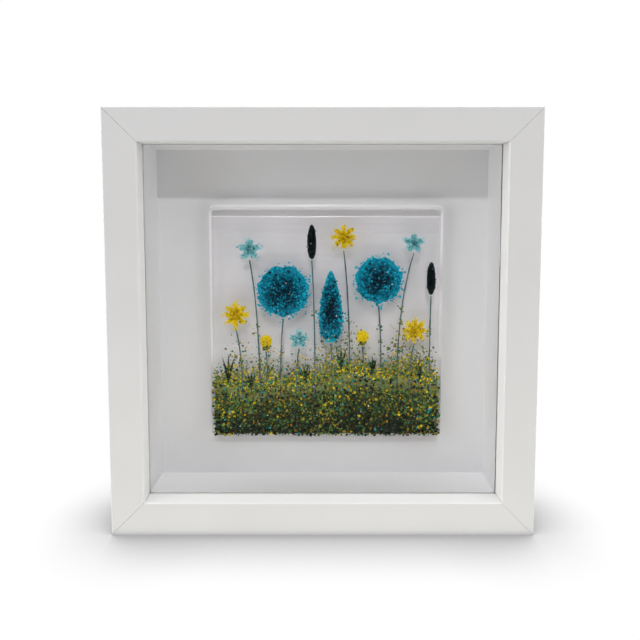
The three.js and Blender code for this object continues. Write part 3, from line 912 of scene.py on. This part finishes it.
def stem_line(node):
    """A stem's line runs from its foot to its head: a quadratic curve with its control
    point over the foot at STEM_BEND of the height. Which side the foot is on shows in the
    node's own corners, as the mean x of its lowest points."""
    corners = np.array([tuple(v.co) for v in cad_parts[node].data.vertices])
    low, high = corners[:, 2].min(), corners[:, 2].max()
    foot = corners[corners[:, 2] < low + STEM_END, 0].mean()
    head = corners[corners[:, 2] > high - STEM_END, 0].mean()
    t = np.linspace(0.0, 1.0, STEM_STEPS)[:, None]
    a = np.array([[foot, low - STEM_SUNK]])
    b = np.array([[foot, low + STEM_BEND * (high - low)]])
    c = np.array([[head, high]])
    return (1 - t) ** 2 * a + 2 * t * (1 - t) * b + t ** 2 * c


def make_stem(node, seed):
    """A round rod along the stem's line, half sunk in the panel's face, whose radius swells
    and thins a little along its length, with closed ends."""
    rng = np.random.default_rng(seed)
    line = stem_line(node)
    along = np.linspace(0.0, 1.0, STEM_STEPS)
    swell = 1.0 + 0.14 * np.sin(along * rng.uniform(7, 13) + rng.uniform(0, 6))
    swell *= 1.0 + 0.10 * np.sin(along * rng.uniform(20, 30) + rng.uniform(0, 6))
    run = np.gradient(line, axis=0)
    run /= np.linalg.norm(run, axis=1, keepdims=True)
    side = np.column_stack([run[:, 1], -run[:, 0]])
    turn = np.linspace(0.0, 2 * math.pi, STEM_SIDES, endpoint=False)
    radius = (STEM_RADIUS * swell)[:, None]
    x = line[:, :1] + side[:, :1] * radius * np.cos(turn)
    z = line[:, 1:] + side[:, 1:] * radius * np.cos(turn)
    y = PANEL_FACE - 0.6 * STEM_RADIUS + radius * np.sin(turn)
    points = np.stack([x, y, z], axis=2).reshape(-1, 3)
    ring = np.arange(STEM_SIDES)
    ends = [tuple(ring), tuple((STEM_STEPS - 1) * STEM_SIDES + ring[::-1])]
    piece = new_mesh_object(f"{node}_rod", points, ends + band_quads(STEM_SIDES, STEM_STEPS))
    piece.data.materials.append(rod_glass)
    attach(piece, "root")
    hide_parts(node)


def rod_material():
    """Grey-teal glass rod: glossy, with its colour deepening and fading along it."""
    material, tree, output = new_material("glass_rod")
    shader = add_node(tree, "ShaderNodeBsdfPrincipled", Roughness=0.12, IOR=1.52, Coat_Weight=0.4)
    cloud = object_noise(tree, 220.0, detail=3.0)
    ramp = tone_ramp(tree, cloud.outputs["Fac"], [
        (0.30, (0.018, 0.060, 0.070)), (0.50, (0.05, 0.12, 0.135)), (0.72, (0.12, 0.22, 0.23)),
    ])
    tree.links.new(ramp.outputs["Color"], shader.inputs["Base Color"])
    tree.links.new(shader.outputs["BSDF"], output.inputs["Surface"])
    return material


rod_glass = rod_material()
for number, node in enumerate(sorted(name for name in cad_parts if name.endswith("_stem"))):
    make_stem(node, 300 + number)


# Ground bed
# The meadow's floor: a thick sweep of mixed green, olive, amber and dark glass, heaped
# highest low down, with a scatter of fine grains above its edge.
MEADOW = [GREEN, OLIVE, AMBER, SEA, DARK, YELLOW]
BED_SHARES = (48, 24, 8, 8, 15, 4)
BED_SPACING = 0.00096
BED_LEAST = 0.0004
BED_MOST = 0.00118
BED_RISE = 0.0012
BED_EDGE = 0.0006
BED_FOOT = 0.0003
BED_OVER = 0.008
BED_HEIGHTS = [0.0, 0.55, 0.8, 1.0, 1.12, 1.3]
BED_CHANCES = [1.0, 1.0, 0.84, 0.56, 0.38, 0.0]
LUMP_SHARE = 0.10
LUMP_HEIGHT = 0.25
BED_GLINTS = 0.006
COAT_SHADES = [(0.006, 0.012, 0.003), (0.014, 0.024, 0.005), (0.05, 0.06, 0.014), (0.29, 0.3, 0.11)]
COAT_TOP = 0.97
COAT_RISE = 0.0004
COAT_COLUMNS = 90
COAT_ROWS = 26


def bed_line(x):
    """The height of the bed's top edge at x, read from the node's own corners."""
    corners = np.array([tuple(v.co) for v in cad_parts["ground_bed"].data.vertices])
    columns = np.unique(np.round(corners[:, 0], 5))
    tops = np.array([corners[np.abs(corners[:, 0] - c) < 2e-5, 2].max() for c in columns])
    return np.interp(x, columns, tops)


def bed_coat(low, high):
    """The melted glass under the bed's grains: a grid over x and the share h of the bed's
    height, up to COAT_TOP of it with two little waves, COAT_RISE off the panel and coming
    down to it at the edges. Its colour runs from nearly black to a thin pale olive."""
    x, h = np.meshgrid(np.linspace(low[0], high[0], COAT_COLUMNS), np.linspace(0.0, 1.0, COAT_ROWS))
    top = COAT_TOP + 0.04 * np.sin(x * 190.0) + 0.03 * np.sin(x * 523.0)
    z = low[2] + h * top * (bed_line(x.ravel()).reshape(x.shape) - low[2])
    sideways = np.minimum(x - low[0], high[0] - x) / (high[0] - low[0])
    inward = np.minimum(np.minimum(h, 1.0 - h), sideways * 4.0)
    y = PANEL_FACE - COAT_RISE * np.clip(inward * 20.0, 0.0, 1.0)
    corner = grid_corners(COAT_COLUMNS, COAT_ROWS)
    above = corner + COAT_COLUMNS
    faces = np.concatenate([np.column_stack([corner, corner + 1, above + 1]),
                            np.column_stack([corner, above + 1, above])])
    return np.stack([x, y, z], axis=2).reshape(-1, 3), faces, along_ramp(COAT_SHADES, (h * top).ravel())


def make_bed():
    """Grains between the panel's lower edge and a ragged line about the bed's top, over a
    melted coat. They get darker towards the foot, where the glass is thickest, and drifts
    of green, olive and amber come and go along the bed."""
    rng = np.random.default_rng(41)
    low, high = box_corners("ground_bed")

    def height(x, z):
        """The share of the bed's own height at which a place lies."""
        return (z - low[2]) / (bed_line(x) - low[2])

    def patches(x, z):
        """Drifts along the bed: the sum of three waves."""
        return np.sin(x * 95.0 + 1.3) + np.sin(z * 160.0 + x * 60.0) + 0.8 * np.sin(x * 210.0 - z * 90.0)

    def inside(x, z):
        """Whether a place holds a grain: fewer and fewer towards and over the top."""
        h = height(x, z)
        chance = np.interp(h, BED_HEIGHTS, BED_CHANCES)
        return rng.random(len(x)) < chance * (1.0 + 0.1 * patches(x, z))

    def rise(x, z):
        """The heap's height at a place, thinner towards the top."""
        return BED_RISE * np.clip(1.15 - 0.7 * height(x, z), 0.3, 1.0)

    box = (low[0] - BED_EDGE, high[0] + BED_EDGE, low[2] - BED_FOOT, high[2] + BED_OVER)
    centres, sizes = settle_heap(rng, inside, box, BED_SPACING, BED_LEAST, BED_MOST, rise)
    x, z = centres[:, 0], centres[:, 2]
    place = 0.14 + 0.46 * height(x, z) + 0.13 * patches(x, z) + rng.normal(0.0, 0.42, len(x))
    colours = mixed_colours(rng, MEADOW, BED_SHARES, place)
    lump = (rng.random(len(x)) < LUMP_SHARE) & (height(x, z) < LUMP_HEIGHT)
    colours[lump] = DARK[0]
    # Painted glints: a few white grains stand in for highlights.
    add_glints(rng, sizes, colours, BED_GLINTS, (0.85, 0.85, 0.80))
    piece = heap_of_grains("ground_bed_grains", centres, sizes, colours, 42, bed_coat(low, high))
    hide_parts("ground_bed")


make_bed()


# Scatter
# Fine grains that strayed as the glass was sifted: a haze over the bed's edge that thins out
# upwards, and small leaves of green beads beside the stems.
SCATTER_COUNT = 6400
SCATTER_SHARES = (34, 24, 13, 7, 5, 17)
SCATTER_FALL = 0.0086
SCATTER_REACH = 0.034
SCATTER_LEAST = 0.00028
SCATTER_SPAN = 0.00052
LEAVES = 9
LEAF_SPREAD = (0.0011, 0.0016)
LEAF_SHARES = (3, 2)


def leaf_places(rng):
    """Beads in small clumps beside the lower two thirds of each stem."""
    places = []
    for node in sorted(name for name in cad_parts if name.endswith("_stem")):
        line = stem_line(node)
        for start in rng.integers(STEM_STEPS // 5, 2 * STEM_STEPS // 3, LEAVES // 3):
            clump = rng.normal(0.0, LEAF_SPREAD, size=(LEAVES, 2))
            places.append(line[start] + clump)
    return np.concatenate(places)


def make_scatter():
    """Stray grains on the panel, whose number falls off with height above the bed."""
    rng = np.random.default_rng(77)
    low, high = box_corners("ground_bed")
    x = rng.uniform(low[0], high[0], SCATTER_COUNT)
    swell = 0.75 + 0.35 * np.sin(x * 130.0 + 0.7) + 0.2 * np.sin(x * 310.0)
    lift = rng.exponential(SCATTER_FALL, SCATTER_COUNT) * swell
    kept = (lift < SCATTER_REACH) & (lift > 0.0)
    beads = np.column_stack([x, bed_line(x) + lift - 0.001])[kept]
    leaves = leaf_places(rng)
    beads = np.concatenate([beads, leaves])
    size = SCATTER_LEAST + SCATTER_SPAN * rng.random(len(beads)) ** 1.6
    centres = np.column_stack([beads[:, 0], PANEL_FACE - 0.3 * size, beads[:, 1]])
    place = rng.uniform(0.4, 1.0, len(beads))
    colours = mixed_colours(rng, MEADOW, SCATTER_SHARES, place)
    tail = len(leaves)
    colours[-tail:] = mixed_colours(rng, [GREEN, OLIVE], LEAF_SHARES, place[-tail:])
    piece = heap_of_grains("stray_grains", centres, size, colours, 78)


make_scatter()


# Grass
# Slivers of dark green glass, broken from a sheet, fanned out by hand in small clumps and
# fused to the panel along the bed's edge.
def sliver_material():
    """Black-green glass slivers, glossy, a little lighter in random patches."""
    material, tree, output = new_material("grass_slivers")
    shader = add_node(tree, "ShaderNodeBsdfPrincipled", Roughness=0.1, IOR=1.52, Coat_Weight=0.5)
    cloud = object_noise(tree, 400.0, detail=3.0)
    ramp = tone_ramp(tree, cloud.outputs["Fac"], [(0.35, (0.004, 0.010, 0.007)), (0.7, (0.03, 0.075, 0.04))])
    tree.links.new(ramp.outputs["Color"], shader.inputs["Base Color"])
    tree.links.new(shader.outputs["BSDF"], output.inputs["Surface"])
    return material


slivers = sliver_material()
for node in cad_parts:
    if node.startswith("grass_clump"):
        dress(node, slivers)
